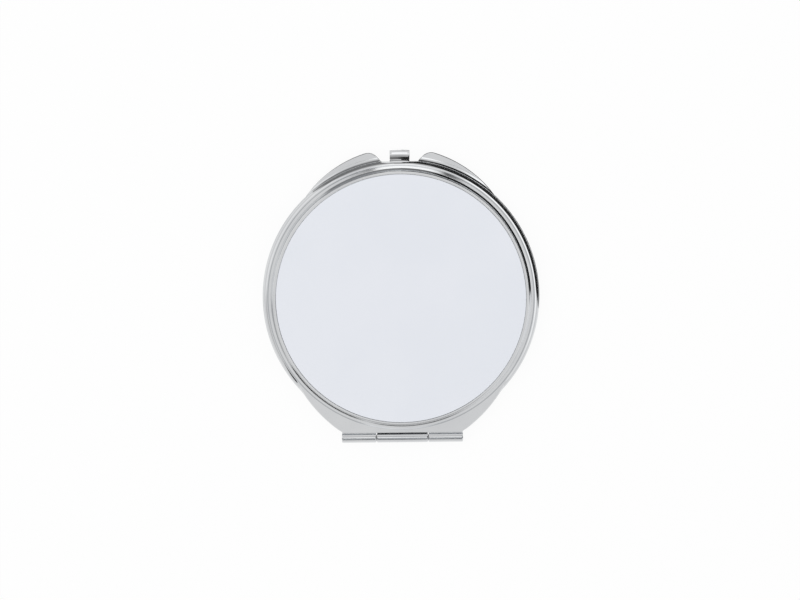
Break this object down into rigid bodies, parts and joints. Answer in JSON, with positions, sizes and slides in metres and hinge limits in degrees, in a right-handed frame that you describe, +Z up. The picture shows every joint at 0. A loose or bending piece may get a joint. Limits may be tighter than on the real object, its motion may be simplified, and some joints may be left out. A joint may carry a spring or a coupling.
{
  "type": "compact mirror",
  "caption": "Round pocket mirror: chromed stamped shells on a rolled hinge, a spring latch tab, a bare white insert disc on the lid, and plain and magnifying mirrors inside.",
  "frame": {"origin": "under the centre of the round body, on the flat bottom of the base", "axes": "+X along the hinge, +Y from the hinge to the latch, +Z up through the closed lid"},
  "size_m": [0.0646, 0.0686, 0.0062],
  "materials": {
    "shell_chrome": "bright plated",
    "frame_chrome": "bright plated",
    "hinge_chrome": "bright plated",
    "latch_chrome": "bright plated",
    "pin_steel": "drawn wire",
    "insert_coating": "satin white",
    "adhesive_film": "matte",
    "plain_mirror": "silvered glass",
    "magnifying_mirror": "silvered glass",
    "foam": "matte foam"
  },
  "bodies": {
    "base": {"base_shell": "shell_chrome", "base_mirror_frame": "frame_chrome", "base_mirror": "magnifying_mirror", "base_mirror_pad": "foam", "base_hinge_leaf": "hinge_chrome"},
    "lid": {"lid_shell": "shell_chrome", "insert_disc": "insert_coating", "insert_tape": "adhesive_film", "lid_mirror_frame": "frame_chrome", "lid_mirror": "plain_mirror", "lid_mirror_pad": "foam", "lid_hinge_leaf": "hinge_chrome", "hinge_pin": "pin_steel", "latch_root": "latch_chrome"},
    "latch": {"latch_tongue": "latch_chrome"}
  },
  "joints": [
    {"name": "lid_hinge", "type": "hinge", "parent": "base", "child": "lid", "pos_m": [0, -0.03325, 0.0031], "axis": [1, 0, 0], "range_deg": [0, 180]},
    {"name": "latch_flex", "type": "hinge", "parent": "lid", "child": "latch", "pos_m": [0, 0.03185, 0.00375], "axis": [1, 0, 0], "range_deg": [0, 10], "stiffness_Nm_per_rad": 0.05}
  ]
}
